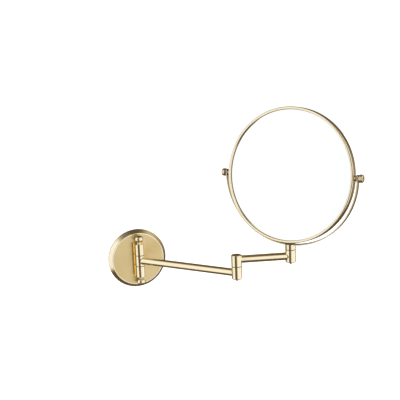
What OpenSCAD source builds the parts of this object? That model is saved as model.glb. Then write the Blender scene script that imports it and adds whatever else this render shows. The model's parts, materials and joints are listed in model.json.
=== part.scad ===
// Extendable shaving mirror: a round two-sided mirror in a yoke, on two hinged arms from a wall rosette.
// The wall is the plane y = 0, the room is on the -Y side and +Z is up.
// The origin is the centre of the rosette's back face.

/* [Rosette] */
// Diameter of the rosette cover on the wall
rosette_d = 101; // [98:1:130]
// How far the rosette cover stands off the wall
rosette_depth = 9.5; // [9:0.5:14]
// Diameter of the rosette's flat front, inside its sloping rim
rosette_face_d = 89.5; // [86:0.5:92]
// Rounding between the flat front and the rim
rosette_edge_r = 0.6; // [0.4:0.1:1.5]
// Pitch circle of the screw holes in the wall bracket
bolt_circle_d = 60; // [50:1:70]
// Number of screw holes in the wall bracket
bolt_count = 3; // [3:1:4]
// Diameter of the screw holes in the wall bracket
bolt_hole_d = 5; // [4:0.5:6]

/* [Wall hinge] */
// Diameter of the three hinge knuckles
knuckle_d = 15.5; // [14:0.5:16]
// Rounding of the top and bottom ends of the hinge
knuckle_edge_r = 1; // [0.5:0.25:2.5]
// Height of the three knuckles together
hinge_h = 57.5; // [52:0.5:62]
// Height of the middle knuckle
sleeve_h = 17.8; // [16:0.1:20]
// Distance from the wall to the hinge axis
hinge_offset = 20.5; // [20.5:0.5:30]
// Diameter of the ball on each finial
finial_d = 15; // [12:0.5:16]
// Height of that ball
finial_h = 11.6; // [10:0.2:12]

/* [Arms] */
// Outer diameter of both arm tubes
arm_d = 12; // [10:0.5:12.5]
// Length of the first arm, axis to axis
arm_1_length = 186.5; // [150:1:240]
// Length of the second arm, axis to axis
arm_2_length = 86; // [60:1:140]
// Diameter of the barrels at the elbow and at the outer joint
barrel_d = 16.5; // [16:0.5:20]
// Rounding of the free ends of those barrels
barrel_edge_r = 2; // [1:0.25:2.5]

/* [Yoke] */
// Outer radius of the half-round yoke strap
yoke_r = 110.8; // [110.5:0.1:113]
// Thickness of the yoke strap
strap_t = 2; // [1.5:0.1:2.2]
// Width of the yoke strap, front to back
strap_w = 8.2; // [7:0.1:9]

/* [Mirror] */
// Outer diameter of the mirror hoop
hoop_d = 209.5; // [200:0.5:210]
// Depth of the mirror hoop, front to back
hoop_depth = 13; // [13:0.5:15]
// Width of the hoop's lip over the glass
hoop_lip = 4.4; // [3:0.1:5]
// How much the magnifying side is dished
dish = 4; // [2:0.1:4]

/* [Pose] */
// Angle of the first arm from the wall
arm_1_angle = 50.3; // [0:0.1:180]
// Angle of the second arm from the wall
arm_2_angle = 13.7; // [0:0.1:180]
// Angle of the mirror's tilt axis from the wall
yoke_angle = 51.5; // [0:0.5:180]
// How far the mirror leans back
tilt_angle = 6.8; // [-90:0.1:90]

/* [Hidden] */
$fn = 96;

gold = [0.83, 0.71, 0.45];
polished_gold = [0.88, 0.77, 0.52];
dark_nylon = [0.09, 0.09, 0.11];
steel = [0.62, 0.63, 0.65];
silvered = [0.90, 0.93, 0.95];

// rosette and bracket
sheet_t = 1.5;
bracket_t = 2.5;
bracket_depth = 4.4;
rim_base = 2.5;
rim_slope = atan((rosette_d - rosette_face_d) / 2 / (rosette_depth - rim_base));
skin_r = sheet_t / cos(rim_slope);
bracket_r = rosette_d / 2 - skin_r - (bracket_depth - rim_base) * tan(rim_slope) - 0.3;
grub_y = 2.2;
grub_r = 1.5;
grub_end = rosette_d / 2 - (grub_y + grub_r - rim_base) * tan(rim_slope) - 0.1;

// wall hinge
bar_w = 20;
bar_t = 2.5;
foot_w = 8;
rod_r = 3;
run_clear = 0.05;
washer_t = 0.8;
knuckle_h = (hinge_h - sleeve_h) / 2 - washer_t;
bar_screw_z = 19;
bar_screw_r = 2;
bar_screw_end = hinge_offset - rod_r - 0.5;
neck_r = 3.5;
neck_h = 2.6;
rod_in_finial = 8;

// arms and their joints, measured from the arm's own axis
tube_t = 1.2;
below_arm = 10;
above_arm = 10.4;
pin_r = 3;
pin_thread_r = 2;
pocket_r = 6;
pocket_h = 5;
spring_t = 1.1;
spring_r = 5;
nut_t = 3;
nut_across_corners = 8.08;
nub_h = 3.5;
arm_step = 2 * (above_arm + washer_t / 2);
upper_barrel_h = 18;
pin_in_upper = 11;
seam = above_arm + washer_t;

// yoke
socket_h = 8.3;
pin_in_socket = 5.5;
mirror_z = arm_step + seam + socket_h - strap_t + yoke_r;
ear_rise = 1.5;
journal_r = 2.25;

// mirror, measured along its tilt axis
hoop_r = hoop_d / 2;
outer_round = 1.4;
groove_r = hoop_r - outer_round;
glass_r = groove_r - 0.95;
dish_r = (pow(glass_r, 2) + pow(dish, 2)) / (2 * dish);
boss_r = 4.1;
nylon_t = 1.5;
inner_nylon_t = 0.8;
inner_washer_start = yoke_r - strap_t - 0.2 - inner_nylon_t;
boss_end = inner_washer_start;
head_start = yoke_r + nylon_t;
head_r = 6.2;
head_h = 6;
head_round = 2.2;
nylon_r = 5;
front_recess = 3.2;
back_recess = 1.8;
front_glass_t = 2;
back_glass_t = 1.7;
inner_round = 0.9;

hinge_axis = [0, -hinge_offset, 0];
elbow_axis = hinge_axis + arm_1_length * [cos(arm_1_angle), -sin(arm_1_angle), 0];
outer_axis = elbow_axis + arm_2_length * [cos(arm_2_angle), -sin(arm_2_angle), 0];

// ---- placing ----

// local +Z points from the wall into the room
module off_the_wall() {
    rotate([90, 0, 0]) children();
}

// local +X runs along the first arm
module on_arm_1() {
    translate(hinge_axis) rotate([0, 0, -arm_1_angle]) children();
}

// local +X runs along the second arm, from the elbow
module on_arm_2() {
    translate(elbow_axis + [0, 0, arm_step]) rotate([0, 0, -arm_2_angle]) children();
}

// local +X runs along the tilt axis, at the height of that axis
module on_yoke() {
    translate(outer_axis + [0, 0, mirror_z]) rotate([0, 0, -yoke_angle]) children();
}

// local +X runs along the tilt axis and +Z out of the plain glass
module on_mirror() {
    on_yoke() rotate([90 - tilt_angle, 0, 0]) children();
}

// side is 1 for the right end of the tilt axis and -1 for the left; local +Z points outward
module on_pivot(side) {
    rotate([0, 90 * side, 0]) children();
}

// ---- shared shapes ----

module ring(outer_r, inner_r, h) {
    difference() {
        cylinder(h = h, r = outer_r);
        translate([0, 0, -1]) cylinder(h = h + 2, r = inner_r);
    }
}

// a solid of revolution whose top edge is rounded
module rounded_top(r, h, edge_r) {
    rotate_extrude() {
        square([r, h - edge_r]);
        square([r - edge_r, h]);
        intersection() {
            translate([r - edge_r, h - edge_r]) circle(r = edge_r);
            square([r, h]);
        }
    }
}

// a fixed knuckle with its foot on the bar; side is 1 for the upper one and -1 for the lower
module fixed_knuckle(side) {
    inner_end = hinge_h / 2 - knuckle_h;
    color(polished_gold)
    difference() {
        mirror([0, 0, side < 0 ? 1 : 0])
        union() {
            translate([0, -hinge_offset, inner_end])
                rounded_top(knuckle_d / 2, knuckle_h, knuckle_edge_r);
            translate([-foot_w / 2, -hinge_offset, inner_end + 1])
                cube([foot_w, hinge_offset - rosette_depth - bar_t, knuckle_h - knuckle_edge_r - 1]);
        }
        translate(hinge_axis) cylinder(h = hinge_h + 2, r = rod_r, center = true);
        translate([0, 0, side * bar_screw_z])
            off_the_wall() cylinder(h = bar_screw_end, r = bar_screw_r);
    }
}

module knuckle_washer(side) {
    color(dark_nylon)
    translate(hinge_axis + [0, 0, side * (sleeve_h + washer_t) / 2 - washer_t / 2])
        ring(knuckle_d / 2 - 0.5, rod_r + 0.1, washer_t);
}

// a flattened ball on a short neck; side is 1 for the upper one and -1 for the lower
module finial(side) {
    round_r = finial_h / 2;
    core_r = finial_d / 2 - round_r;
    color(polished_gold)
    translate(hinge_axis)
    mirror([0, 0, side < 0 ? 1 : 0])
    difference() {
        union() {
            translate([0, 0, hinge_h / 2]) cylinder(h = neck_h + 1, r = neck_r);
            translate([0, 0, hinge_h / 2 + neck_h])
                rotate_extrude() {
                    square([core_r, finial_h]);
                    intersection() {
                        translate([core_r, round_r]) circle(r = round_r);
                        square([finial_d / 2, finial_h]);
                    }
                }
        }
        translate([0, 0, hinge_h / 2 - 1]) cylinder(h = rod_in_finial + 1, r = rod_r);
    }
}

// a tube whose ends are coped to the round barrels that they are brazed to
module coped_tube(length, start_r, end_r) {
    color(polished_gold)
    difference() {
        rotate([0, 90, 0]) cylinder(h = length, d = arm_d);
        rotate([0, 90, 0]) translate([0, 0, -1]) cylinder(h = length + 2, d = arm_d - 2 * tube_t);
        cylinder(h = arm_d + 2, r = start_r, center = true);
        translate([length, 0, 0]) cylinder(h = arm_d + 2, r = end_r, center = true);
    }
}

// the lower barrel of a joint: a running bore, and a pocket below it for the nut
module lower_barrel() {
    color(polished_gold)
    difference() {
        translate([0, 0, above_arm]) mirror([0, 0, 1])
            rounded_top(barrel_d / 2, above_arm + below_arm, barrel_edge_r);
        cylinder(h = 60, r = pin_r + run_clear, center = true);
        translate([0, 0, -below_arm - 1]) cylinder(h = pocket_h + 1, r = pocket_r);
    }
}

module joint_washer() {
    color(dark_nylon)
    translate([0, 0, above_arm]) ring(barrel_d / 2 - 0.5, pin_r + 0.1, washer_t);
}

// shouldered pin: screwed up into the part above, threaded for the nut below
module joint_pin(engagement) {
    shoulder = -below_arm + pocket_h;
    tip = -below_arm - nub_h;
    color(steel)
    union() {
        translate([0, 0, shoulder]) cylinder(h = seam + engagement - shoulder, r = pin_r);
        translate([0, 0, tip + pin_thread_r]) cylinder(h = shoulder - tip, r = pin_thread_r);
        translate([0, 0, tip + pin_thread_r]) sphere(r = pin_thread_r);
    }
}

module spring_washer() {
    color(steel)
    translate([0, 0, -below_arm + pocket_h - spring_t]) ring(spring_r, pin_thread_r + 0.2, spring_t);
}

module joint_nut() {
    color(steel)
    translate([0, 0, -below_arm + pocket_h - spring_t - nut_t])
    difference() {
        cylinder(h = nut_t, d = nut_across_corners, $fn = 6);
        translate([0, 0, -1]) cylinder(h = nut_t + 2, r = pin_thread_r);
    }
}

// threaded boss brazed to the outside of the hoop
module pivot_boss(side) {
    color(polished_gold)
    on_mirror()
    difference() {
        on_pivot(side)
        difference() {
            translate([0, 0, hoop_r - 1]) cylinder(h = boss_end - hoop_r + 1, r = boss_r);
            translate([0, 0, hoop_r + 0.8]) cylinder(h = boss_end - hoop_r, r = pin_thread_r);
        }
        cylinder(h = hoop_depth, r = hoop_r, center = true, $fn = 720);
    }
}

module nylon_washer(side, start, t) {
    color(dark_nylon)
    on_mirror() on_pivot(side)
        translate([0, 0, start]) ring(nylon_r, journal_r, t);
}

// domed head, journal through the washers and the yoke's ear, thread in the boss
module pivot_screw(side) {
    color(polished_gold)
    on_mirror() on_pivot(side)
    union() {
        translate([0, 0, head_start]) rounded_top(head_r, head_h, head_round);
        translate([0, 0, boss_end]) cylinder(h = head_start - boss_end, r = journal_r);
        translate([0, 0, hoop_r + 0.8]) cylinder(h = boss_end - hoop_r - 0.8, r = pin_thread_r);
    }
}

// ---- rosette and wall hinge ----

module wall_bracket() {
    color(steel)
    off_the_wall()
    difference() {
        union() {
            cylinder(h = bracket_t, r = bracket_r);
            ring(bracket_r, bracket_r - 3, bracket_depth);
        }
        for (i = [0:bolt_count - 1])
            rotate([0, 0, 90 + i * 360 / bolt_count])
                translate([bolt_circle_d / 2, 0, -1]) cylinder(h = bracket_t + 2, d = bolt_hole_d);
    }
}

// a pressed cover: a flat front, and a rim that slopes out to the wall
module rosette_cover() {
    outer_r = rosette_d / 2;
    inner_r = outer_r - skin_r;
    round_z = rosette_depth - rosette_edge_r;
    round_x = outer_r - (rosette_edge_r + sin(rim_slope) * (round_z - rim_base)) / cos(rim_slope);
    rim_top = [round_x + rosette_edge_r * cos(rim_slope), round_z + rosette_edge_r * sin(rim_slope)];
    inner_h = rosette_depth - sheet_t - rim_base;
    color(gold)
    difference() {
        off_the_wall()
        difference() {
            rotate_extrude($fn = 180) {
                polygon([
                    [0, 0], [outer_r, 0], [outer_r, rim_base],
                    rim_top, [round_x, rosette_depth], [0, rosette_depth]
                ]);
                translate([round_x, round_z]) circle(r = rosette_edge_r);
            }
            translate([0, 0, -1]) cylinder(h = rim_base + 1, r = inner_r);
            translate([0, 0, rim_base])
                cylinder(h = inner_h, r1 = inner_r, r2 = inner_r - inner_h * tan(rim_slope));
        }
        for (side = [-1, 1])
            translate([0, 0, side * bar_screw_z])
                off_the_wall() cylinder(h = rosette_depth + 1, r = bar_screw_r + 0.2);
        translate([0, -grub_y, -rosette_d / 2 - 1]) cylinder(h = rosette_d / 2 + 1 - bracket_r, r = grub_r);
    }
}

module grub_screw() {
    color(steel)
    translate([0, -grub_y, -grub_end])
    difference() {
        cylinder(h = grub_end - bracket_r, r = grub_r);
        translate([0, 0, -1]) cylinder(h = 2, d = 1.73, $fn = 6);
    }
}

// polished plate between the rosette and the knuckles
module hinge_bar() {
    color(polished_gold)
    difference() {
        translate([-bar_w / 2, -rosette_depth - bar_t, -hinge_h / 2]) cube([bar_w, bar_t, hinge_h]);
        for (side = [-1, 1])
            translate([0, 0, side * bar_screw_z])
                off_the_wall() cylinder(h = rosette_depth + bar_t + 1, r = bar_screw_r + 0.2);
    }
}

// two screws from behind the rosette, through the bar, into the feet of the knuckles
module hinge_bar_screws() {
    head_t = 2.4;
    head_z = rosette_depth - sheet_t - head_t;
    color(steel)
    for (side = [-1, 1])
        translate([0, 0, side * bar_screw_z])
            off_the_wall()
            difference() {
                union() {
                    translate([0, 0, head_z]) cylinder(h = head_t, r = 3.6);
                    translate([0, 0, head_z]) cylinder(h = bar_screw_end - head_z, r = bar_screw_r);
                }
                translate([-0.5, -4, head_z - 1]) cube([1, 8, 2]);
            }
}

module upper_knuckle() {
    fixed_knuckle(1);
}

module lower_knuckle() {
    fixed_knuckle(-1);
}

module upper_knuckle_washer() {
    knuckle_washer(1);
}

module lower_knuckle_washer() {
    knuckle_washer(-1);
}

module hinge_rod() {
    color(steel)
    translate(hinge_axis) cylinder(h = hinge_h + 2 * rod_in_finial, r = rod_r, center = true);
}

module upper_finial() {
    finial(1);
}

module lower_finial() {
    finial(-1);
}

// ---- first arm ----

module hinge_sleeve() {
    color(polished_gold)
    translate(hinge_axis)
    difference() {
        cylinder(h = sleeve_h - 2 * run_clear, d = knuckle_d, center = true);
        cylinder(h = sleeve_h + 2, r = rod_r + run_clear, center = true);
    }
}

module arm_1_tube() {
    on_arm_1() coped_tube(arm_1_length, knuckle_d / 2, barrel_d / 2);
}

module elbow_lower_barrel() {
    translate(elbow_axis) lower_barrel();
}

module elbow_washer() {
    translate(elbow_axis) joint_washer();
}

// ---- second arm ----

module elbow_pin() {
    translate(elbow_axis) joint_pin(pin_in_upper);
}

module elbow_spring_washer() {
    translate(elbow_axis) spring_washer();
}

module elbow_nut() {
    translate(elbow_axis) joint_nut();
}

module elbow_upper_barrel() {
    color(polished_gold)
    translate(elbow_axis + [0, 0, seam])
    difference() {
        rounded_top(barrel_d / 2, upper_barrel_h, barrel_edge_r);
        translate([0, 0, -1]) cylinder(h = pin_in_upper + 1, r = pin_r);
    }
}

module arm_2_tube() {
    on_arm_2() coped_tube(arm_2_length, barrel_d / 2, barrel_d / 2);
}

module outer_barrel() {
    translate(outer_axis + [0, 0, arm_step]) lower_barrel();
}

module outer_washer() {
    translate(outer_axis + [0, 0, arm_step]) joint_washer();
}

// ---- yoke ----

module outer_pin() {
    translate(outer_axis + [0, 0, arm_step]) joint_pin(pin_in_socket);
}

module outer_spring_washer() {
    translate(outer_axis + [0, 0, arm_step]) spring_washer();
}

module outer_nut() {
    translate(outer_axis + [0, 0, arm_step]) joint_nut();
}

// the strap lies in a slot across the top of the socket
module yoke_socket() {
    color(polished_gold)
    difference() {
        translate(outer_axis + [0, 0, arm_step + seam]) cylinder(h = socket_h, d = barrel_d);
        translate(outer_axis + [0, 0, arm_step + seam - 1]) cylinder(h = pin_in_socket + 1, r = pin_r);
        on_yoke() rotate([90, 0, 0]) cylinder(h = strap_w, r = yoke_r, center = true);
    }
}

module yoke_strap() {
    color(gold)
    on_yoke()
    difference() {
        union() {
            difference() {
                rotate([90, 0, 0]) ring_centred(yoke_r, yoke_r - strap_t, strap_w);
                translate([-200, -50, 0]) cube([400, 100, 200]);
            }
            for (side = [-1, 1])
                translate([side * (yoke_r - strap_t / 2), 0, 0]) ear();
        }
        rotate([0, 90, 0]) cylinder(h = 3 * yoke_r, r = journal_r + run_clear, center = true);
    }
}

module ring_centred(outer_r, inner_r, h) {
    translate([0, 0, -h / 2]) ring(outer_r, inner_r, h);
}

// flat end of the strap, rising past the tilt axis to a round top
module ear() {
    translate([-strap_t / 2, -strap_w / 2, 0]) cube([strap_t, strap_w, ear_rise]);
    intersection() {
        translate([0, 0, ear_rise]) rotate([0, 90, 0]) cylinder(h = strap_t, d = strap_w, center = true);
        translate([-strap_t, -strap_w, ear_rise]) cube([2 * strap_t, 2 * strap_w, strap_w]);
    }
}

// ---- pivots ----

module left_boss() {
    pivot_boss(-1);
}

module right_boss() {
    pivot_boss(1);
}

module left_inner_washer() {
    nylon_washer(-1, inner_washer_start, inner_nylon_t);
}

module right_inner_washer() {
    nylon_washer(1, inner_washer_start, inner_nylon_t);
}

module left_washer() {
    nylon_washer(-1, yoke_r, nylon_t);
}

module right_washer() {
    nylon_washer(1, yoke_r, nylon_t);
}

module left_pivot_screw() {
    pivot_screw(-1);
}

module right_pivot_screw() {
    pivot_screw(1);
}

// ---- mirror ----

// half of the hoop's section beyond z = 0: the wall, and a lip with both corners rounded
module lip_section(recess) {
    top = hoop_depth / 2;
    inner = hoop_r - hoop_lip;
    translate([inner, top - recess]) square([groove_r - inner, recess - inner_round]);
    translate([inner + inner_round, top - recess])
        square([groove_r - inner - inner_round, recess]);
    translate([inner + inner_round, top - inner_round]) circle(r = inner_round);
    intersection() {
        translate([groove_r, top - outer_round]) circle(r = outer_round);
        translate([groove_r, 0]) square([outer_round, top]);
    }
    translate([groove_r, 0]) square([outer_round, top - outer_round]);
}

module mirror_hoop() {
    color(gold)
    on_mirror()
    rotate_extrude($fn = 180) {
        lip_section(front_recess);
        mirror([0, 1]) lip_section(back_recess);
    }
}

module front_glass() {
    color(silvered)
    on_mirror()
    translate([0, 0, hoop_depth / 2 - front_recess - 0.1 - front_glass_t])
        cylinder(h = front_glass_t, r = glass_r, $fn = 180);
}

// height of a sphere about the dish's centre above the dished glass's edge, at a radius
function dish_at(r, sphere_r) = dish - dish_r + sqrt(pow(sphere_r, 2) - pow(r, 2));

module magnifying_glass() {
    color(silvered)
    on_mirror()
    translate([0, 0, -hoop_depth / 2 + back_recess + 0.1])
        rotate_extrude($fn = 180)
            intersection() {
                square([glass_r, dish + 2 * back_glass_t]);
                translate([0, dish - dish_r])
                    difference() {
                        circle(r = dish_r + back_glass_t, $fn = 2400);
                        circle(r = dish_r, $fn = 2400);
                    }
            }
}

module glass_spacer() {
    inner_r = glass_r - 18;
    low = -hoop_depth / 2 + back_recess + 0.1 + dish_at(inner_r, dish_r + back_glass_t) + 0.05;
    high = hoop_depth / 2 - front_recess - 0.1 - front_glass_t;
    color(dark_nylon)
    on_mirror()
    translate([0, 0, low]) ring(inner_r + 8, inner_r, high - low);
}

wall_bracket();
rosette_cover();
grub_screw();
hinge_bar();
hinge_bar_screws();
upper_knuckle();
lower_knuckle();
upper_knuckle_washer();
lower_knuckle_washer();
hinge_rod();
upper_finial();
lower_finial();
hinge_sleeve();
arm_1_tube();
elbow_lower_barrel();
elbow_washer();
elbow_pin();
elbow_spring_washer();
elbow_nut();
elbow_upper_barrel();
arm_2_tube();
outer_barrel();
outer_washer();
outer_pin();
outer_spring_washer();
outer_nut();
yoke_socket();
yoke_strap();
left_boss();
right_boss();
left_inner_washer();
right_inner_washer();
left_washer();
right_washer();
left_pivot_screw();
right_pivot_screw();
mirror_hoop();
front_glass();
magnifying_glass();
glass_spacer();
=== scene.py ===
"""Looks for the extendable shaving mirror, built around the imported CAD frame."""

import json
import math

import bpy
from mathutils import Matrix, Vector

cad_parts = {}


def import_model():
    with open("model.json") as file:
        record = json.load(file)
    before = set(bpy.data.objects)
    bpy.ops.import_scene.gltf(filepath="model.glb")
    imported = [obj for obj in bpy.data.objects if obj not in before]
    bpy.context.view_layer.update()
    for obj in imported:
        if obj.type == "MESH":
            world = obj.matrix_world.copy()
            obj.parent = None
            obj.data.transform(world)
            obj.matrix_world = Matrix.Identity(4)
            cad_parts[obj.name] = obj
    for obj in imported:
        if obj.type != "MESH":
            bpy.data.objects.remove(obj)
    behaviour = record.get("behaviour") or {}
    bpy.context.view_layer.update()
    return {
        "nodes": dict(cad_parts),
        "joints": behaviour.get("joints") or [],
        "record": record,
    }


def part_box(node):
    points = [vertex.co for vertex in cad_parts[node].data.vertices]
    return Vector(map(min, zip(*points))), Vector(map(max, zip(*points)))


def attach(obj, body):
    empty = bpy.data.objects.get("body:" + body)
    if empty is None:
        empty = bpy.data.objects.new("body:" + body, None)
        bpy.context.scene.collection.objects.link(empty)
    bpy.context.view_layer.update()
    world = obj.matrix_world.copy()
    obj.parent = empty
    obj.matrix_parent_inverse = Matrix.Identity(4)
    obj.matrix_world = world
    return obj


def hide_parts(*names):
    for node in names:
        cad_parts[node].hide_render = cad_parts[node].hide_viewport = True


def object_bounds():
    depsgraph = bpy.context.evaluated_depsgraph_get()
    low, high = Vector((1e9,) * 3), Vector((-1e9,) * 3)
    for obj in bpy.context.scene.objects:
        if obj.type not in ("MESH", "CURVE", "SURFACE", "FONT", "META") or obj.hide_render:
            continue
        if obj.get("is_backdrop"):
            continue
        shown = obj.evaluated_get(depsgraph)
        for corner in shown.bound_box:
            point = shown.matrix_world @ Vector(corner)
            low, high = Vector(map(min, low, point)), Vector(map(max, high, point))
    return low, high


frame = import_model()

MM = 0.001
UP = Vector((0, 0, 1))
TAU = 2 * math.pi
JOINTS = {j["name"]: j for j in frame["joints"]}


def joint_point(name):
    return Vector(JOINTS[name]["pos_m"])


HINGE = joint_point("wall_swing")
ELBOW = joint_point("elbow_swing")
OUTER = joint_point("yoke_swivel")
PIVOT = joint_point("mirror_tilt")
TILT_AXIS = Vector(JOINTS["mirror_tilt"]["axis"]).normalized()


def middle(node):
    lo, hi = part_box(node)
    return (lo + hi) / 2


GLASS_NORMAL = (middle("front_glass") - middle("mirror_hoop")).normalized()


# ---------------------------------------------------------------- materials

class Nodes:
    """A small helper for writing node trees."""

    def __init__(self, tree):
        self.tree = tree

    def add(self, kind, inputs=None, **settings):
        node = self.tree.nodes.new(kind)
        for key, value in settings.items():
            setattr(node, key, value)
        for key, value in (inputs or {}).items():
            if isinstance(value, bpy.types.NodeSocket):
                self.tree.links.new(value, node.inputs[key])
            else:
                node.inputs[key].default_value = value
        return node

    def math(self, operation, first, second=0.0):
        node = self.add("ShaderNodeMath", {0: first, 1: second}, operation=operation)
        return node.outputs[0]

    def ramp(self, factor, stops):
        node = self.add("ShaderNodeValToRGB", {"Fac": factor})
        elements = node.color_ramp.elements
        while len(elements) < len(stops):
            elements.new(0.5)
        for element, (place, shade) in zip(elements, stops):
            element.position = place
            element.color = shade if len(shade) == 4 else (*shade, 1.0)
        return node.outputs["Color"]

    def noise(self, vector, scale, detail=3.0, rough=0.5):
        inputs = {"Vector": vector, "Scale": scale, "Detail": detail, "Roughness": rough}
        return self.add("ShaderNodeTexNoise", inputs).outputs["Fac"]

    def span(self, value, low, high, out_low=0.0, out_high=1.0, smooth=False):
        inputs = {"Value": value, "From Min": low, "From Max": high,
                  "To Min": out_low, "To Max": out_high}
        kind = "SMOOTHSTEP" if smooth else "LINEAR"
        return self.add("ShaderNodeMapRange", inputs, interpolation_type=kind).outputs[0]

    def mix(self, factor, first, second):
        node = self.add("ShaderNodeMix", data_type="RGBA")
        given = zip((node.inputs[0], node.inputs[6], node.inputs[7]), (factor, first, second))
        for socket, value in given:
            if isinstance(value, bpy.types.NodeSocket):
                self.tree.links.new(value, socket)
            elif socket is node.inputs[0]:
                socket.default_value = value
            else:
                socket.default_value = (*value, 1.0)
        return node.outputs[2]


def new_material(name):
    material = bpy.data.materials.new(name)
    material.use_nodes = True
    tree = material.node_tree
    shader = next(n for n in tree.nodes if n.type == "BSDF_PRINCIPLED")
    return material, Nodes(tree), shader


def grain_vector(n, along, across):
    """Object coordinates as (radius, turn, height), so that grain runs round the piece's own axis."""
    place = n.add("ShaderNodeTexCoord").outputs["Object"]
    part = n.add("ShaderNodeSeparateXYZ", {0: place})
    x, y, z = part.outputs
    radius = n.math("SQRT", n.math("ADD", n.math("MULTIPLY", x, x), n.math("MULTIPLY", y, y)))
    turn = n.math("ARCTAN2", y, x)
    scaled = n.add("ShaderNodeCombineXYZ", {
        0: n.math("MULTIPLY", radius, across),
        1: n.math("MULTIPLY", turn, along),
        2: n.math("MULTIPLY", z, across)})
    return scaled.outputs[0], place


def gold(name, light, deep, rough, rough_swing, grain, grain_scale=2600.0, wear=0.5, dent=0.02):
    """Lacquered brass: colour drift, turned grain, rubbed edges and faint handling marks."""
    material, n, shader = new_material(name)
    turned, place = grain_vector(n, 3.0, grain_scale)
    drift = n.noise(place, 22.0, 4.0, 0.6)
    marks = n.noise(place, 240.0, 5.0, 0.62)
    fine = n.noise(turned, 1.0, 3.0, 0.7)
    base = n.ramp(drift, [(0.30, deep), (0.72, light)])
    edge = n.span(n.add("ShaderNodeNewGeometry").outputs["Pointiness"], 0.505, 0.56)
    rubbed = n.math("MULTIPLY", edge, n.span(marks, 0.35, 0.7, 0.0, wear))
    bright = tuple(min(1.0, c * 1.09 + 0.03) for c in light)
    tinted = n.mix(rubbed, base, bright)
    soft = n.mix(n.span(fine, 0.3, 0.7, 0.0, 0.10), tinted, deep)
    tree = material.node_tree
    tree.links.new(soft, shader.inputs["Base Color"])
    shader.inputs["Metallic"].default_value = 1.0
    wobble = n.math("ADD", n.span(marks, 0.3, 0.75, -rough_swing, rough_swing),
                    n.span(fine, 0.2, 0.8, -rough_swing * 0.6, rough_swing * 0.6))
    tree.links.new(n.math("MAXIMUM", n.math("ADD", wobble, rough), 0.02), shader.inputs["Roughness"])
    height = n.math("ADD", n.math("MULTIPLY", fine, grain), n.math("MULTIPLY", marks, dent))
    bump = n.add("ShaderNodeBump", {"Height": height, "Strength": 0.35, "Distance": 0.0002})
    tree.links.new(bump.outputs[0], shader.inputs["Normal"])
    return material


def plastic(name, colour, rough):
    """Moulded black nylon with a fine spark-eroded texture."""
    material, n, shader = new_material(name)
    place = n.add("ShaderNodeTexCoord").outputs["Object"]
    speck = n.noise(place, 3200.0, 2.0, 0.6)
    drift = n.noise(place, 160.0, 3.0, 0.5)
    paler = tuple(min(1.0, c * 2.2 + 0.01) for c in colour)
    tree = material.node_tree
    tree.links.new(n.ramp(drift, [(0.3, colour), (0.85, paler)]), shader.inputs["Base Color"])
    tree.links.new(n.span(speck, 0.3, 0.7, rough - 0.08, rough + 0.1), shader.inputs["Roughness"])
    bump = n.add("ShaderNodeBump", {"Height": speck, "Strength": 0.25, "Distance": 0.0001})
    tree.links.new(bump.outputs[0], shader.inputs["Normal"])
    return material


def zinc_steel(name):
    """Zinc-plated fasteners and pressings, slightly mottled."""
    material, n, shader = new_material(name)
    turned, place = grain_vector(n, 2.0, 1800.0)
    mottle = n.noise(place, 130.0, 4.0, 0.6)
    fine = n.noise(turned, 1.0, 2.0, 0.6)
    tree = material.node_tree
    shade = n.ramp(mottle, [(0.3, (0.42, 0.44, 0.47)), (0.7, (0.66, 0.67, 0.69))])
    tree.links.new(shade, shader.inputs["Base Color"])
    shader.inputs["Metallic"].default_value = 1.0
    tree.links.new(n.span(mottle, 0.2, 0.8, 0.26, 0.42), shader.inputs["Roughness"])
    bump = n.add("ShaderNodeBump", {"Height": fine, "Strength": 0.3, "Distance": 0.0001})
    tree.links.new(bump.outputs[0], shader.inputs["Normal"])
    return material


def silvered_glass(name):
    """Silvered float glass: almost flawless, with the least haze of handling."""
    material, n, shader = new_material(name)
    place = n.add("ShaderNodeTexCoord").outputs["Object"]
    haze = n.noise(place, 30.0, 5.0, 0.65)
    wave = n.noise(place, 9.0, 1.0, 0.4)
    tree = material.node_tree
    tint = n.ramp(haze, [(0.3, (0.972, 0.982, 0.99)), (0.8, (0.988, 0.992, 0.995))])
    tree.links.new(tint, shader.inputs["Base Color"])
    shader.inputs["Metallic"].default_value = 1.0
    tree.links.new(n.span(haze, 0.45, 0.85, 0.012, 0.04), shader.inputs["Roughness"])
    bump = n.add("ShaderNodeBump", {"Height": wave, "Strength": 0.04, "Distance": 0.0003})
    tree.links.new(bump.outputs[0], shader.inputs["Normal"])
    return material


def foam(name):
    """Dark open-celled foam of the spacer between the glasses."""
    material, n, shader = new_material(name)
    place = n.add("ShaderNodeTexCoord").outputs["Object"]
    cells = n.noise(place, 1500.0, 4.0, 0.7)
    tree = material.node_tree
    shade = n.ramp(cells, [(0.3, (0.02, 0.02, 0.022)), (0.8, (0.09, 0.09, 0.095))])
    tree.links.new(shade, shader.inputs["Base Color"])
    tree.links.new(n.span(cells, 0.2, 0.8, 0.8, 0.98), shader.inputs["Roughness"])
    bump = n.add("ShaderNodeBump", {"Height": cells, "Strength": 0.6, "Distance": 0.0003})
    tree.links.new(bump.outputs[0], shader.inputs["Normal"])
    return material


def pale_floor(name):
    """Matt floor that glows just enough to stay white."""
    material, n, shader = new_material(name)
    place = n.add("ShaderNodeTexCoord").outputs["Object"]
    drift = n.noise(place, 1.6, 3.0, 0.5)
    tree = material.node_tree
    shade = n.ramp(drift, [(0.3, (0.955, 0.955, 0.96)), (0.8, (0.98, 0.98, 0.98))])
    tree.links.new(shade, shader.inputs["Base Color"])
    tree.links.new(shade, shader.inputs["Emission Color"])
    shader.inputs["Emission Strength"].default_value = 1.0
    shader.inputs["Roughness"].default_value = 0.9
    return material


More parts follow.
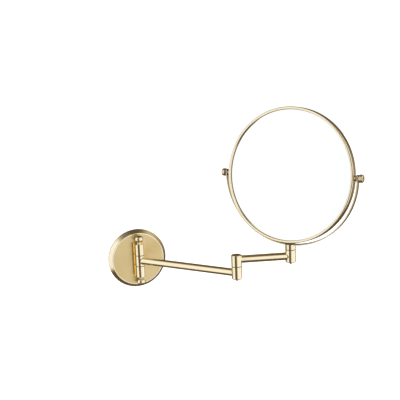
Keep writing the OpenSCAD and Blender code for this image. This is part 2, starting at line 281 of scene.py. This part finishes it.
PALE = (0.955, 0.865, 0.66)
DEEP = (0.925, 0.815, 0.575)
MAT = {
    "polished_gold": gold("polished_gold", PALE, DEEP, 0.10, 0.03, 0.05),
    "brushed_gold": gold("brushed_gold", (0.76, 0.61, 0.335), (0.70, 0.55, 0.285),
                         0.33, 0.05, 0.5, 3200.0, 0.6),
    "hoop_gold": gold("hoop_gold", (0.93, 0.85, 0.68), (0.87, 0.77, 0.56),
                      0.16, 0.04, 0.2, 2600.0, 0.6),
    "dusky_gold": gold("dusky_gold", (0.78, 0.66, 0.48), (0.70, 0.57, 0.39),
                       0.26, 0.05, 0.3, 2600.0, 0.6),
    # deep_gold is a saturated orange copy of the polished gold: a painted reflection of the gold rosette
    # and barrel mirrored in the polished hinge bar.
    "deep_gold": gold("deep_gold", (0.90, 0.60, 0.17), (0.84, 0.50, 0.11), 0.10, 0.03, 0.05),
    "raw_brass": gold("raw_brass", (0.72, 0.50, 0.24), (0.58, 0.36, 0.14),
                      0.30, 0.06, 0.4, 2200.0, 0.4),
    # olive_gold is a darker, duller copy of the same gold: painted shade for the yoke strap and its ears.
    # Its satin roughness is the strap's real finish.
    "olive_gold": gold("olive_gold", (0.76, 0.67, 0.49), (0.68, 0.58, 0.40),
                       0.24, 0.05, 0.4, 2800.0, 0.6),
    "black_nylon": plastic("black_nylon", (0.012, 0.013, 0.018), 0.42),
    "steel": zinc_steel("steel"),
    "mirror_glass": silvered_glass("mirror_glass"),
    "foam": foam("foam"),
}


# ---------------------------------------------------------------- mesh helpers

def set_smooth(mesh, degrees=32.0):
    mesh.shade_smooth()
    mesh.set_sharp_from_angle(angle=math.radians(degrees))


def make(name, vertices, faces, body, slot, nodes=(), place=Matrix.Identity(4), sharp=32.0):
    """A piece from its vertices and faces, placed, riding on a body and standing for CAD nodes."""
    mesh = bpy.data.meshes.new(name)
    mesh.from_pydata([tuple(v) for v in vertices], [], faces)
    mesh.validate()
    mesh.update()
    set_smooth(mesh, sharp)
    piece = bpy.data.objects.new(name, mesh)
    bpy.context.scene.collection.objects.link(piece)
    piece.matrix_world = place
    mesh.materials.append(MAT[slot])
    even = piece.modifiers.new("even_normals", "WEIGHTED_NORMAL")
    even.keep_sharp = True
    even.weight = 60
    bpy.context.view_layer.update()
    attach(piece, body)
    if nodes:
        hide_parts(*nodes)
    return piece


def arc(centre, radius, start, end, steps):
    """Points (r, z) on an arc from one angle to another, in degrees."""
    points = []
    for i in range(steps + 1):
        a = math.radians(start + (end - start) * i / steps)
        points.append((centre[0] + radius * math.cos(a), centre[1] + radius * math.sin(a)))
    return points


def lathe_mesh(profile, segments, closed):
    """Revolves a profile of (r, z) round Z. An open profile starts and ends on the axis."""
    vertices, rows = [], []
    for r, z in profile:
        if r < 1e-7:
            rows.append([len(vertices)])
            vertices.append((0.0, 0.0, z))
        else:
            rows.append(list(range(len(vertices), len(vertices) + segments)))
            for i in range(segments):
                a = TAU * i / segments
                vertices.append((r * math.cos(a), r * math.sin(a), z))
    faces = []
    pairs = list(zip(rows, rows[1:]))
    if closed:
        pairs.append((rows[-1], rows[0]))
    for low, high in pairs:
        for i in range(segments):
            j = (i + 1) % segments
            if len(low) == 1 and len(high) == 1:
                continue
            if len(low) == 1:
                faces.append((low[0], high[j], high[i]))
            elif len(high) == 1:
                faces.append((low[i], low[j], high[0]))
            else:
                faces.append((low[i], low[j], high[j], high[i]))
    return vertices, faces


def lathe(name, profile, body, slot, nodes=(), place=Matrix.Identity(4),
          segments=128, closed=False, sharp=32.0):
    vertices, faces = lathe_mesh(profile, segments, closed)
    return make(name, vertices, faces, body, slot, nodes, place, sharp)


def standing(point):
    """Local Z up at a point."""
    return Matrix.Translation(point)


def along(point, z_axis, x_hint=UP):
    """Local Z along an axis at a point."""
    z = z_axis.normalized()
    x = (x_hint - z * x_hint.dot(z)).normalized()
    y = z.cross(x)
    turn = Matrix((x, y, z)).transposed().to_4x4()
    return Matrix.Translation(point) @ turn


def barrel_profile(radius, low, high, low_edge, high_edge, bore=0.0):
    """A cylinder standing on the axis with rounded ends."""
    points = [(bore, low)]
    points += arc((radius - low_edge, low + low_edge), low_edge, -90, 0, 8)
    points += arc((radius - high_edge, high - high_edge), high_edge, 0, 90, 8)
    points.append((bore, high))
    return points


# ---------------------------------------------------------------- rosette and wall hinge

def wall_axes():
    """Local Z off the wall, local X to the right along it."""
    return along(Vector((0, 0, 0)), Vector((0, -1, 0)), Vector((1, 0, 0)))


def flat_radius(node, level):
    """Radius of the flat front that a node has at its lowest y."""
    points = [v.co for v in frame["nodes"][node].data.vertices]
    return max(math.hypot(p.x, p.z) for p in points if p.y < level + 0.01 * MM)


def rosette():
    """Pressed cover: a satin flat front inside a polished border and a rim that slopes out to the wall."""
    lo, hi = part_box("rosette_cover")
    radius = (hi.x - lo.x) / 2
    depth = -lo.y
    face_r = flat_radius("rosette_cover", lo.y)
    skin = 1.5 * MM
    edge = 0.7 * MM
    base = 2.5 * MM
    border = 1.3 * MM
    slope = math.atan2(radius - face_r - edge, depth - base - edge)
    lean = math.degrees(slope)
    rim = [(radius - skin, 0.0), (radius - 0.25 * MM, 0.0), (radius, 0.25 * MM)]
    rim += arc((radius - 0.4 * MM, base - 0.1 * MM), 0.4 * MM, 0, lean, 4)
    rim += arc((face_r, depth - edge), edge, lean, 90, 8)
    rim += [(face_r - border + 0.15 * MM, depth), (face_r - border, depth - 0.15 * MM)]
    rim += [(face_r - border, depth - skin), (radius - 1.1 * skin, base)]
    lathe("rosette_rim", rim, "wall_mount", "hoop_gold", ["rosette_cover"],
          wall_axes(), 256, closed=True, sharp=28)
    flat_r = face_r - border - 0.03 * MM
    front = depth - 0.05 * MM
    flat = [(0.0, depth - skin), (flat_r, depth - skin)]
    flat += [(flat_r, front - 0.15 * MM), (flat_r - 0.15 * MM, front)]
    flat += [(flat_r * k, front) for k in (0.97, 0.85, 0.6, 0.3, 0.0)]
    lathe("rosette_face", flat, "wall_mount", "brushed_gold", (), wall_axes(), 256, sharp=28)


def slab(name, size, edge, body, slot, nodes, place):
    """A rounded rectangular slab, built ring by ring from its back face to its front face."""
    half_x, half_y, thick = size
    rings = [(0.0, 0.0), (0.0, thick - edge)]
    rings += [(edge - edge * math.cos(math.radians(a)), thick - edge + edge * math.sin(math.radians(a)))
              for a in (22, 45, 68, 90)]
    corner = 1.2 * edge + 0.4 * MM
    vertices, faces = [], []
    count = 0
    for inset, z in rings:
        ring = []
        for cx, cy, start in ((1, 1, 0), (-1, 1, 90), (-1, -1, 180), (1, -1, 270)):
            r = corner - inset
            for i in range(7):
                a = math.radians(start + 15 * i)
                ring.append((cx * (half_x - corner) + r * math.cos(a),
                             cy * (half_y - corner) + r * math.sin(a), z))
        count = len(ring)
        vertices += ring
    for k in range(len(rings) - 1):
        for i in range(count):
            j = (i + 1) % count
            faces.append((k * count + i, k * count + j, (k + 1) * count + j, (k + 1) * count + i))
    faces.append(tuple(reversed(range(count))))
    top = (len(rings) - 1) * count
    faces.append(tuple(range(top, top + count)))
    return make(name, vertices, faces, body, slot, nodes, place, 30)


def hinge_bar():
    lo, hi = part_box("hinge_bar")
    centre = Vector(((lo.x + hi.x) / 2, hi.y, (lo.z + hi.z) / 2))
    size = ((hi.x - lo.x) / 2, (hi.z - lo.z) / 2, hi.y - lo.y)
    place = along(centre, Vector((0, -1, 0)), Vector((1, 0, 0)))
    # The bar wears deep_gold, whose saturated orange is a painted reflection of the gold pieces around it.
    slab("hinge_bar_plate", size, 0.5 * MM, "wall_mount", "deep_gold", ["hinge_bar"], place)


def knuckles():
    sleeve_lo, sleeve_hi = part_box("hinge_sleeve")
    radius = (sleeve_hi.x - sleeve_lo.x) / 2
    bar_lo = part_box("hinge_bar")[0]
    for name, side in (("upper_knuckle", 1), ("lower_knuckle", -1)):
        lo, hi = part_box(name)
        low, high = (lo.z, hi.z) if side > 0 else (-hi.z, -lo.z)
        low, high = low - side * HINGE.z, high - side * HINGE.z
        profile = barrel_profile(radius, low, high, 0.25 * MM, 0.9 * MM)
        turn = Matrix.Identity(4) if side > 0 else Matrix.Rotation(math.pi, 4, "X")
        lathe(name + "_round", profile, "wall_mount", "polished_gold", [name], standing(HINGE) @ turn)
        foot_half = 4 * MM
        foot_deep = bar_lo.y - HINGE.y
        foot_high = (high - low) / 2 - 1.2 * MM
        centre = Vector((HINGE.x, bar_lo.y + 0.05 * MM, (lo.z + hi.z) / 2))
        place = along(centre, Vector((0, -1, 0)), Vector((1, 0, 0)))
        slab(name + "_foot", (foot_half, foot_high, foot_deep), 0.4 * MM,
             "wall_mount", "polished_gold", (), place)
    profile = barrel_profile(radius, sleeve_lo.z, sleeve_hi.z, 0.25 * MM, 0.25 * MM)
    lathe("sleeve_round", profile, "arm_1", "polished_gold", ["hinge_sleeve"],
          standing(Vector((HINGE.x, HINGE.y, 0))))


def finials():
    for node, side in (("upper_finial", 1), ("lower_finial", -1)):
        lo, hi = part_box(node)
        radius = (hi.x - lo.x) / 2
        base = lo.z if side > 0 else -hi.z
        tip = hi.z if side > 0 else -lo.z
        round_r = 5.8 * MM
        core = radius - round_r
        neck = 3.4 * MM
        ball_low = tip - 2 * round_r
        profile = [(0.0, base), (neck + 0.5 * MM, base), (neck + 0.5 * MM, base + 0.5 * MM)]
        profile += [(neck + 0.15 * MM, base + 0.9 * MM), (neck, base + 1.4 * MM)]
        start = -math.degrees(math.acos((neck - core) / round_r))
        profile += [(neck, ball_low + round_r + round_r * math.sin(math.radians(start)) - 0.3 * MM)]
        profile += arc((core, ball_low + round_r), round_r, start + 3, 90, 26)
        profile += [(core * 0.5, tip), (0.0, tip)]
        turn = Matrix.Identity(4) if side > 0 else Matrix.Rotation(math.pi, 4, "X")
        place = standing(Vector((HINGE.x, HINGE.y, 0))) @ turn
        lathe(node + "_ball", profile, "wall_mount", "polished_gold", [node], place, 96)


# ---------------------------------------------------------------- arms

def coped_arm(name, node, body, start, end, start_r, end_r):
    """A tube whose ends follow the barrels, with a brazed fillet at each end."""
    lo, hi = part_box(node)
    radius = (hi.z - lo.z) / 2
    direction = Vector((end.x - start.x, end.y - start.y, 0))
    length = direction.length
    place = along(Vector((start.x, start.y, middle(node).z)), direction, UP)
    segments = 128
    fillet = 1.1 * MM
    overlap = 0.05 * MM
    steps = 6
    vertices, faces = [], []

    def fillet_ring(barrel_r, t, flip):
        """One ring of the fillet, t from 0 on the barrel to 1 on the tube."""
        ring = []
        r = radius + fillet * (1 - math.sin(math.radians(90 * t)))
        lift = fillet * (1 - math.cos(math.radians(90 * t)))
        for i in range(segments):
            a = TAU * i / segments
            side = min(r * abs(math.sin(a)), barrel_r)
            z = math.sqrt(max(barrel_r ** 2 - side ** 2, 0.0)) + lift - overlap
            ring.append((r * math.cos(a), r * math.sin(a), length - z if flip else z))
        return ring

    rings = [fillet_ring(start_r, k / steps, False) for k in range(steps + 1)]
    rings += [fillet_ring(end_r, 1 - k / steps, True) for k in range(steps + 1)]
    for ring in rings:
        vertices += ring
    for k in range(len(rings) - 1):
        for i in range(segments):
            j = (i + 1) % segments
            low, high = k * segments, (k + 1) * segments
            faces.append((low + i, low + j, high + j, high + i))
    return make(name, vertices, faces, body, "polished_gold", [node], place, 40)


def arms():
    sleeve_lo, sleeve_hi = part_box("hinge_sleeve")
    barrel_lo, barrel_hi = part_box("elbow_lower_barrel")
    sleeve_r = (sleeve_hi.x - sleeve_lo.x) / 2
    barrel_r = (barrel_hi.x - barrel_lo.x) / 2
    coped_arm("arm_1_pipe", "arm_1_tube", "arm_1", HINGE, ELBOW, sleeve_r, barrel_r)
    coped_arm("arm_2_pipe", "arm_2_tube", "arm_2", ELBOW, OUTER, barrel_r, barrel_r)


def lower_barrels():
    for node, centre, body in (("elbow_lower_barrel", ELBOW, "arm_1"), ("outer_barrel", OUTER, "arm_2")):
        lo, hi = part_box(node)
        radius = (hi.x - lo.x) / 2
        pocket_r = 6 * MM
        pocket_h = 4.9 * MM
        edge = 1.6 * MM
        profile = [(0.0, lo.z + pocket_h), (pocket_r, lo.z + pocket_h), (pocket_r, lo.z + 0.3 * MM)]
        profile += [(pocket_r + 0.25 * MM, lo.z)]
        profile += arc((radius - edge, lo.z + edge), edge, -90, 0, 8)
        profile += arc((radius - 0.3 * MM, hi.z - 0.3 * MM), 0.3 * MM, 0, 90, 4)
        profile += [(0.0, hi.z)]
        lathe(node + "_round", profile, body, "polished_gold", [node],
              standing(Vector((centre.x, centre.y, 0))))


def upper_barrel():
    lo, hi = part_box("elbow_upper_barrel")
    radius = (hi.x - lo.x) / 2
    profile = barrel_profile(radius, lo.z, hi.z, 0.3 * MM, 1.7 * MM)
    lathe("elbow_upper_round", profile, "arm_2", "polished_gold", ["elbow_upper_barrel"],
          standing(Vector((ELBOW.x, ELBOW.y, 0))))


def plain_washers():
    """Nylon washers between the barrels and the knuckles."""
    rows = (("upper_knuckle_washer", HINGE, "wall_mount"), ("lower_knuckle_washer", HINGE, "wall_mount"),
            ("elbow_washer", ELBOW, "arm_1"), ("outer_washer", OUTER, "arm_2"))
    for node, centre, body in rows:
        lo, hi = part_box(node)
        radius = (hi.x - lo.x) / 2
        profile = barrel_profile(radius, lo.z, hi.z, 0.2 * MM, 0.2 * MM)
        lathe(node + "_disc", profile, body, "black_nylon", [node],
              standing(Vector((centre.x, centre.y, 0))), 96)


# ---------------------------------------------------------------- yoke

def yoke_frame():
    """Local X along the tilt axis, local Z up, at the tilt axis."""
    x = TILT_AXIS
    y = UP.cross(x)
    return Matrix.Translation(PIVOT) @ Matrix((x, y, UP)).transposed().to_4x4()


def strap_sizes():
    """Outer radius, thickness and width of the strap, in the yoke's own frame."""
    place = yoke_frame().inverted()
    points = [place @ v.co for v in frame["nodes"]["yoke_strap"].data.vertices]
    outer = -min(p.z for p in points)
    inner = min(math.hypot(p.x, p.z) for p in points if p.z < 0)
    return outer, outer - inner, 2 * max(p.y for p in points)


YOKE_R, STRAP_T, STRAP_W = strap_sizes()


def strap_section():
    """Rounded rectangle (across, outward) with softly broken edges."""
    edge = 0.45 * MM
    points = []
    for cx, cz, start in ((1, 1, 0), (-1, 1, 90), (-1, -1, 180), (1, -1, 270)):
        for i in range(5):
            a = math.radians(start + 22.5 * i)
            points.append((cx * (STRAP_W / 2 - edge) + edge * math.cos(a),
                           cz * (STRAP_T / 2 - edge) + edge * math.sin(a)))
    return points


def yoke_strap():
    """The half-round band, and a short straight rise to the pivot at each end."""
    mid_r = YOKE_R - STRAP_T / 2
    section = strap_section()
    count = len(section)
    vertices, faces = [], []
    turns = 144
    rise = 1.5 * MM
    stations = [(Vector((-1, 0, 0)), Vector((-mid_r, 0, rise)))]
    for i in range(turns + 1):
        a = math.pi * (1 + i / turns)
        out = Vector((math.cos(a), 0, math.sin(a)))
        stations.append((out, out * mid_r))
    stations.append((Vector((1, 0, 0)), Vector((mid_r, 0, rise))))
    for out, centre in stations:
        for across, outward in section:
            vertices.append(centre + out * outward + Vector((0, across, 0)))
    for k in range(len(stations) - 1):
        for i in range(count):
            j = (i + 1) % count
            faces.append((k * count + i, k * count + j, (k + 1) * count + j, (k + 1) * count + i))
    # The band wears olive_gold, whose darker colour is painted shade.
    make("yoke_band", vertices, faces, "yoke", "olive_gold", ["yoke_strap"], yoke_frame(), 35)
    for side, label in ((-1, "left"), (1, "right")):
        strap_ear(label, side, mid_r, rise)


def strap_ear(label, side, mid_r, rise):
    """Round top of the strap beside the pivot: a half disc with broken edges."""
    edge = 0.45 * MM
    steps = 36
    half_t = STRAP_T / 2
    rings = []
    for i in range(5):
        a = math.radians(90 - 22.5 * i)
        rings.append((STRAP_W / 2 - edge + edge * math.cos(a), half_t - edge + edge * math.sin(a)))
    rings += [(r, -t) for r, t in reversed(rings)]
    vertices, faces = [], []
    for r, t in rings:
        for i in range(steps + 1):
            a = math.pi * i / steps
            vertices.append((side * mid_r + t, r * math.cos(a), rise + r * math.sin(a)))
    row = steps + 1
    for k in range(len(rings) - 1):
        for i in range(steps):
            quad = (k * row + i, k * row + i + 1, (k + 1) * row + i + 1, (k + 1) * row + i)
            faces.append(tuple(reversed(quad)))
    top = tuple(range(row))
    last = (len(rings) - 1) * row
    faces.append(top)
    faces.append(tuple(reversed(range(last, last + row))))
    # The ears wear olive_gold too, whose darker colour is painted shade.
    make("yoke_ear_" + label, vertices, faces, "yoke", "olive_gold", (), yoke_frame(), 35)


def yoke_socket():
    lo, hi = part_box("yoke_socket")
    radius = (hi.x - lo.x) / 2
    slot_floor = PIVOT.z - YOKE_R + 0.15 * MM
    profile = barrel_profile(radius, lo.z, slot_floor, 0.3 * MM, 0.05 * MM)
    place = standing(Vector((OUTER.x, OUTER.y, 0)))
    lathe("socket_round", profile, "yoke", "polished_gold", ["yoke_socket"], place)
    socket_cheeks(radius, slot_floor, hi.z)


def socket_cheeks(radius, low, high):
    """The two lips that stand up on either side of the strap."""
    edge = 0.5 * MM
    inner = STRAP_W / 2 + 0.02 * MM
    for side, label in ((-1, "back"), (1, "front")):
        vertices, faces = [], []
        outline = []
        reach = math.acos(inner / radius)
        steps = 24
        for i in range(steps + 1):
            a = -reach + 2 * reach * i / steps
            outline.append((math.sin(a), math.cos(a)))
        levels = [(0.0, low - 0.2 * MM), (0.0, high - edge)]
        levels += [(edge - edge * math.cos(math.radians(t)), high - edge + edge * math.sin(math.radians(t)))
                   for t in (30, 60, 90)]
        row = len(outline)
        for inset, z in levels:
            for x, y in outline:
                r = radius - inset
                vertices.append((x * r, side * max(y * r, inner), z))
        for k in range(len(levels) - 1):
            for i in range(row - 1):
                quad = (k * row + i, k * row + i + 1, (k + 1) * row + i + 1, (k + 1) * row + i)
                faces.append(quad if side < 0 else tuple(reversed(quad)))
            back = (k * row, (k + 1) * row, (k + 1) * row + row - 1, k * row + row - 1)
            faces.append(back if side < 0 else tuple(reversed(back)))
        top = tuple(range((len(levels) - 1) * row, len(levels) * row))
        bottom = tuple(range(row))
        faces.append(tuple(reversed(top)) if side > 0 else top)
        faces.append(bottom if side > 0 else tuple(reversed(bottom)))
        place = yoke_frame()
        place.translation = Vector((OUTER.x, OUTER.y, 0))
        make("socket_lip_" + label, vertices, faces, "yoke", "polished_gold", (), place, 30)


# ---------------------------------------------------------------- mirror and pivots

def mirror_frame():
    """Local X along the tilt axis, local Z out of the plain glass."""
    x = TILT_AXIS
    y = GLASS_NORMAL.cross(x)
    return Matrix.Translation(PIVOT) @ Matrix((x, y, GLASS_NORMAL)).transposed().to_4x4()


def hoop_sizes():
    """Outer radius, lip's inner radius and half depth of the hoop, along its own axes."""
    place = mirror_frame().inverted()
    points = [place @ v.co for v in frame["nodes"]["mirror_hoop"].data.vertices]
    reach = [math.hypot(p.x, p.y) for p in points]
    return max(reach), min(reach), max(p.z for p in points)


def disc_span(node):
    """Radius, lowest and highest point of a round node along the mirror's own axis."""
    place = mirror_frame().inverted()
    points = [place @ v.co for v in frame["nodes"][node].data.vertices]
    return max(math.hypot(p.x, p.y) for p in points), min(p.z for p in points), max(p.z for p in points)


def mirror_hoop():
    radius, lip_r, half = hoop_sizes()
    glass_r, _, glass_top = disc_span("front_glass")
    rear_low = disc_span("magnifying_glass")[1]
    groove = glass_r + 0.1 * MM
    gap = 0.03 * MM
    big = 1.4 * MM
    bead = 0.8 * MM
    crown = 0.12 * MM
    profile = arc((radius - big, half - big - crown), big, 0, 84, 12)
    profile += [((radius + lip_r) / 2, half)]
    profile += arc((lip_r + 1.15 * MM, half - bead - crown), bead, 88, 112, 3)
    profile += [(lip_r + 0.45 * MM, half - 0.55 * MM), (lip_r + 0.12 * MM, half - 1.2 * MM)]
    profile += [(lip_r, half - 1.6 * MM), (lip_r, glass_top + gap), (groove, glass_top + gap)]
    profile += [(groove, rear_low - gap), (lip_r, rear_low - gap)]
    profile += [(lip_r, -half + 1.0 * MM), (lip_r + 0.35 * MM, -half + 0.4 * MM)]
    profile += arc((lip_r + 1.3 * MM, -half + bead), bead, -110, -90, 3)
    profile += arc((radius - big, -half + big), big, -84, 0, 12)
    profile.reverse()
    lathe("hoop", profile, "mirror", "hoop_gold", ["mirror_hoop"], mirror_frame(),
          360, closed=True, sharp=40)


def front_mirror():
    glass_r, low, top = disc_span("front_glass")
    bevel = 0.35 * MM
    profile = [(0.0, low), (glass_r - 0.1 * MM, low), (glass_r, low + 0.1 * MM)]
    profile += [(glass_r, top - bevel), (glass_r - bevel, top)]
    profile += [(glass_r * k, top) for k in (0.985, 0.9, 0.7, 0.4)] + [(0.0, top)]
    lathe("plain_mirror", profile, "mirror", "mirror_glass", ["front_glass"], mirror_frame(), 256)


def rear_mirror():
    glass_r, low, top = disc_span("magnifying_glass")
    thick = 1.7 * MM
    dish = top - low - thick
    steps = 40
    radii = [glass_r * i / steps for i in range(steps + 1)]
    back = [(r, low + dish * (1 - (r / glass_r) ** 2)) for r in radii]
    front = [(r, z + thick) for r, z in reversed(back)]
    lathe("magnifying_mirror", back + front, "mirror", "mirror_glass", ["magnifying_glass"],
          mirror_frame(), 256)


def pivot_span(node, place):
    """Radius of a node round the tilt axis, and its start and end along it."""
    back = place.inverted()
    points = [back @ v.co for v in frame["nodes"][node].data.vertices]
    return max(math.hypot(p.x, p.y) for p in points), min(p.z for p in points), max(p.z for p in points)


def pivots():
    """Brazed boss, nylon washers on both sides of the strap's ear, and a domed screw."""
    hoop_r = hoop_sizes()[0]
    for side, label in ((-1, "left"), (1, "right")):
        place = along(PIVOT, TILT_AXIS * side, UP)
        boss_r, _, high = pivot_span(label + "_boss", place)
        low = math.sqrt(hoop_r ** 2 - boss_r ** 2) - 0.3 * MM
        profile = [(0.0, low), (boss_r, low)]
        profile += arc((boss_r - 0.4 * MM, high - 0.4 * MM), 0.4 * MM, 0, 90, 4) + [(0.0, high)]
        lathe(label + "_spacer", profile, "mirror", "raw_brass", [label + "_boss"], place, 72)
        for node, name in (("_inner_washer", "_inner_nylon"), ("_washer", "_nylon")):
            washer_r, start, end = pivot_span(label + node, place)
            profile = barrel_profile(washer_r, start, end, 0.3 * MM, 0.3 * MM)
            lathe(label + name, profile, "mirror", "black_nylon", [label + node], place, 72)
        pivot_head(label, end, high, place)


def pivot_head(label, start, shank_start, place):
    """Domed screw head with a turned shoulder, and its shank through the strap."""
    head_r, _, end = pivot_span(label + "_pivot_screw", place)
    shank = 2.2 * MM
    crown = 2.2 * MM
    profile = [(0.0, shank_start), (shank, shank_start), (shank, start), (head_r - 0.5 * MM, start)]
    profile += arc((head_r - 0.4 * MM, start + 0.4 * MM), 0.4 * MM, -90, 0, 4)
    profile += [(head_r, start + 1.5 * MM), (head_r - 0.2 * MM, start + 1.7 * MM)]
    profile += [(head_r - 0.2 * MM, start + 1.9 * MM), (head_r - 0.03 * MM, start + 2.1 * MM)]
    profile += arc((head_r - crown, end - crown), crown, 12, 80, 9)
    profile += [((head_r - crown) * 0.8, end - 0.02 * MM), ((head_r - crown) * 0.4, end), (0.0, end)]
    lathe(label + "_screw_head", profile, "mirror", "dusky_gold", [label + "_pivot_screw"], place, 96)


# ---------------------------------------------------------------- kept CAD nodes

def dress_kept_nodes():
    """CAD nodes that stay as they are get the material of their slot."""
    slots = {s["node"]: s["material_slot"] for s in frame["record"]["subparts"]}
    for node, piece in frame["nodes"].items():
        piece.data.materials.clear()
        piece.data.materials.append(MAT[slots[node]])


# ---------------------------------------------------------------- stage

def world():
    """A pale tent, open to shade overhead, underfoot and behind the wall. The camera sees white."""
    made = bpy.data.worlds.new("studio")
    bpy.context.scene.world = made
    made.use_nodes = True
    n = Nodes(made.node_tree)
    out = next(x for x in made.node_tree.nodes if x.type == "OUTPUT_WORLD")
    glow = next(x for x in made.node_tree.nodes if x.type == "BACKGROUND")
    ray = n.add("ShaderNodeTexCoord").outputs["Generated"]
    x, y, z = n.add("ShaderNodeSeparateXYZ", {0: ray}).outputs
    turn = n.math("MULTIPLY", n.math("ARCTAN2", x, n.math("MULTIPLY", y, -1.0)), 360 / TAU)
    right = n.span(turn, 80.0, 120.0, 1.0, 0.0, smooth=True)
    left = n.span(turn, -152.0, -98.0, 0.0, 1.0, smooth=True)
    overhead = n.span(z, 0.62, 0.97, 1.0, 0.0, smooth=True)
    underfoot = n.span(z, -0.67, -0.48, 0.0, 1.0, smooth=True)
    light = right
    for part in (left, overhead, underfoot):
        light = n.math("MULTIPLY", light, part)
    shade = n.ramp(light, [(0.0, (0.115, 0.088, 0.048)), (0.55, (0.60, 0.52, 0.35)),
                           (1.0, (1.0, 0.99, 0.965))])
    cool = n.span(n.math("ABSOLUTE", n.math("SUBTRACT", turn, -71.0)), 1.0, 5.0, 0.35, 0.0, smooth=True)
    shade = n.mix(cool, shade, (0.86, 0.94, 1.0))
    seen = n.add("ShaderNodeLightPath").outputs["Is Camera Ray"]
    shown = n.mix(seen, shade, (1.0, 1.0, 1.0))
    made.node_tree.links.new(shown, glow.inputs["Color"])
    strength = 1.06
    glow.inputs["Strength"].default_value = strength
    made.node_tree.links.new(glow.outputs[0], out.inputs["Surface"])


def dark_board():
    """A dark board with soft edges in front of the object, seen only in the polished pieces."""
    material = bpy.data.materials.new("dark_board_paint")
    material.use_nodes = True
    tree = material.node_tree
    tree.nodes.clear()
    n = Nodes(tree)
    place = n.add("ShaderNodeTexCoord").outputs["Object"]
    across = n.add("ShaderNodeSeparateXYZ", {0: place}).outputs[0]
    cover = n.math("MULTIPLY", n.span(across, -1.10, -0.70, 0.0, 1.0, smooth=True),
                   n.span(across, 0.85, 1.01, 1.0, 0.0, smooth=True))
    shade = n.ramp(n.span(across, 0.35, 0.80),
                   [(0.0, (0.105, 0.078, 0.038)), (1.0, (0.28, 0.26, 0.20))])
    clear = n.add("ShaderNodeBsdfTransparent").outputs[0]
    dark = n.add("ShaderNodeEmission", {"Color": shade, "Strength": 1.0}).outputs[0]
    mixed = n.add("ShaderNodeMixShader", {0: cover, 1: clear, 2: dark}).outputs[0]
    out = n.add("ShaderNodeOutputMaterial")
    tree.links.new(mixed, out.inputs["Surface"])
    half, low, high = 1.15, -1.0, 1.3
    corners = [(-half, 0, low), (half, 0, low), (half, 0, high), (-half, 0, high)]
    mesh = bpy.data.meshes.new("dark_board")
    mesh.from_pydata(corners, [], [(0, 1, 2, 3)])
    mesh.materials.append(material)
    board = bpy.data.objects.new("dark_board", mesh)
    bpy.context.scene.collection.objects.link(board)
    board.location = (-0.95, -1.28, 0.1)
    board.visible_camera = False
    board.visible_diffuse = False
    board.visible_shadow = False
    board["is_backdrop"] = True


def floor():
    size = 6.0
    drop = 0.45
    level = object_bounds()[0].z - drop
    corners = [(-size, -size, level), (size, -size, level), (size, size, level), (-size, size, level)]
    mesh = bpy.data.meshes.new("floor")
    mesh.from_pydata(corners, [], [(0, 1, 2, 3)])
    piece = bpy.data.objects.new("floor", mesh)
    bpy.context.scene.collection.objects.link(piece)
    mesh.materials.append(pale_floor("floor_paint"))
    piece.visible_glossy = False
    piece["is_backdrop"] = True


def soft_light(name, place, aim, size, power):
    data = bpy.data.lights.new(name, "AREA")
    data.shape = "RECTANGLE"
    data.size, data.size_y = size
    data.energy = power
    lamp = bpy.data.objects.new(name, data)
    bpy.context.scene.collection.objects.link(lamp)
    lamp.location = place
    lamp.rotation_mode = "QUATERNION"
    lamp.rotation_quaternion = (Vector(aim) - Vector(place)).to_track_quat("-Z", "Y")
    lamp.visible_glossy = False


def camera():
    """Stands left of the wall plate and above it, turned a little to the right and down."""
    place = Vector((-0.279, -1.164, 0.3184))
    yaw, pitch, roll = math.radians(18.81), math.radians(-10.48), math.radians(-2.37)
    ahead = Vector((math.sin(yaw) * math.cos(pitch), math.cos(yaw) * math.cos(pitch), math.sin(pitch)))
    right = Vector((math.cos(yaw), -math.sin(yaw), 0))
    above = right.cross(ahead)
    right_r = right * math.cos(roll) + above * math.sin(roll)
    above_r = above * math.cos(roll) - right * math.sin(roll)
    data = bpy.data.cameras.new("camera")
    data.sensor_width = 36.0
    data.lens = 64.071
    data.shift_x = 0.0023
    data.shift_y = -0.0021
    eye = bpy.data.objects.new("camera", data)
    bpy.context.scene.collection.objects.link(eye)
    eye.matrix_world = Matrix.Translation(place) @ Matrix((right_r, above_r, -ahead)).transposed().to_4x4()
    bpy.context.scene.camera = eye


# ---------------------------------------------------------------- build

bpy.context.scene.view_settings.view_transform = "Standard"
dress_kept_nodes()
rosette()
hinge_bar()
knuckles()
finials()
arms()
lower_barrels()
upper_barrel()
plain_washers()
yoke_strap()
yoke_socket()
mirror_hoop()
front_mirror()
rear_mirror()
pivots()
world()
dark_board()
floor()
soft_light("key", place=(-0.9, -1.3, 1.2), aim=(0.1, -0.1, 0.0), size=(1.2, 0.9), power=12.0)
camera()
